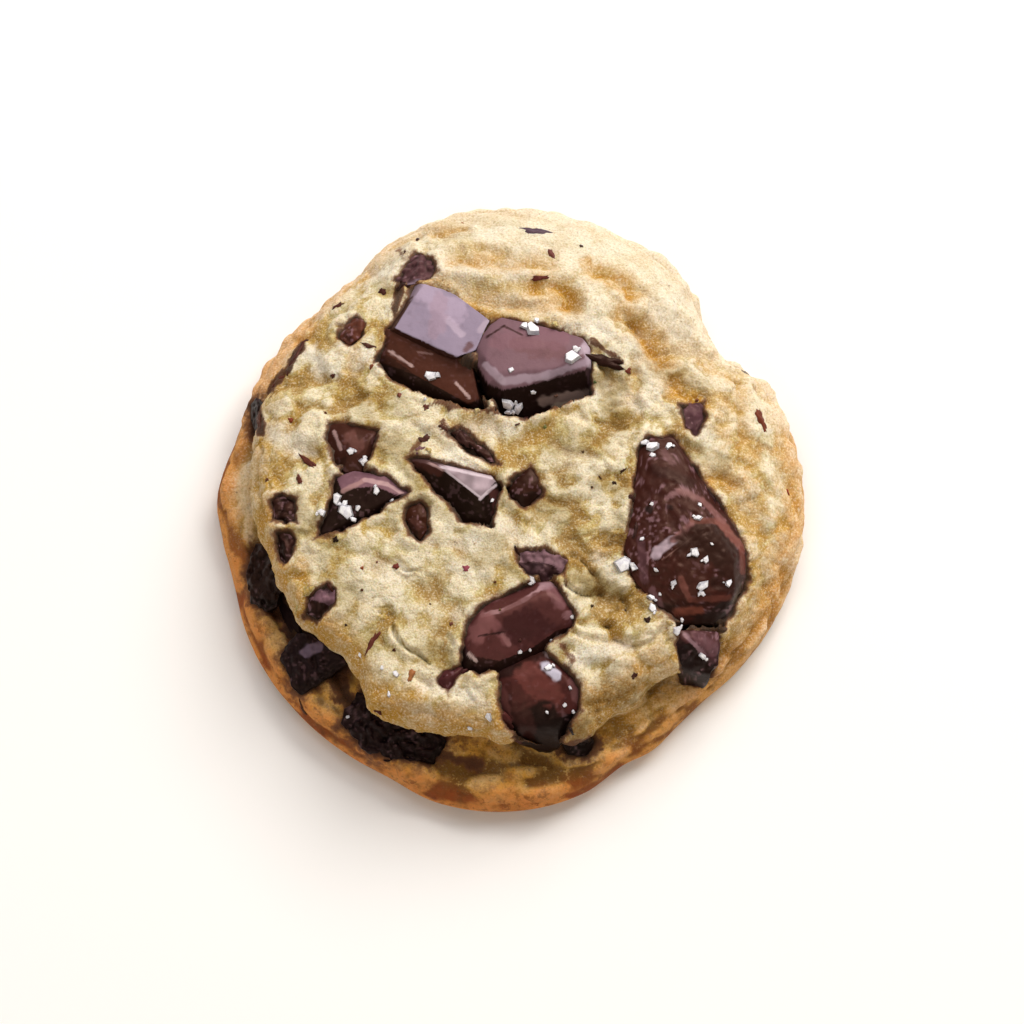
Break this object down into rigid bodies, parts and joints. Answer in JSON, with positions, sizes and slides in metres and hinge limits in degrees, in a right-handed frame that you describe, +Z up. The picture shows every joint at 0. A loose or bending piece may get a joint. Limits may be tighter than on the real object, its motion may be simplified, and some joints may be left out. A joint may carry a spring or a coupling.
{
  "type": "chocolate chip cookie",
  "caption": "Thick round drop cookie with a craggy golden top, an overhanging lip on one side, broken dark chocolate chunks and flakes of salt",
  "frame": {"origin": "middle of the bounding box's bottom face, on the flat base", "axes": "+Z up through the thickness, the shortest extent; +Y towards the far side in the picture, +X to its right"},
  "size_m": [0.088, 0.0928, 0.0207],
  "materials": {
    "dough": "baked cookie crumb, matte",
    "chocolate": "dark chocolate, half gloss"
  },
  "bodies": {
    "root": {"dough": "dough", "chunk_centre_slab": "chocolate", "chunk_back_slab": "chocolate", "chunk_back_ledge": "chocolate", "chunk_right_square": "chocolate", "chunk_right_edge": "chocolate", "chunk_front_wedge": "chocolate", "chunk_front_spill": "chocolate", "chunk_left_upper": "chocolate", "chunk_left_wedge": "chocolate", "chunk_middle": "chocolate", "chunk_diamond": "chocolate", "chunk_strip": "chocolate", "chunk_oval": "chocolate", "chunk_crumbly": "chocolate", "chunk_pitted_back": "chocolate", "chunk_pitted_left": "chocolate", "chunk_lip_upper": "chocolate", "chunk_lip_lower": "chocolate", "chunk_under_lip": "chocolate", "chunk_hollow_left": "chocolate", "chunk_hollow_front": "chocolate", "chunk_pitted_lip": "chocolate", "chunk_small_right": "chocolate", "chunk_rim_left": "chocolate", "chunk_front_chip": "chocolate", "chunk_under_right": "chocolate"}
  },
  "joints": []
}
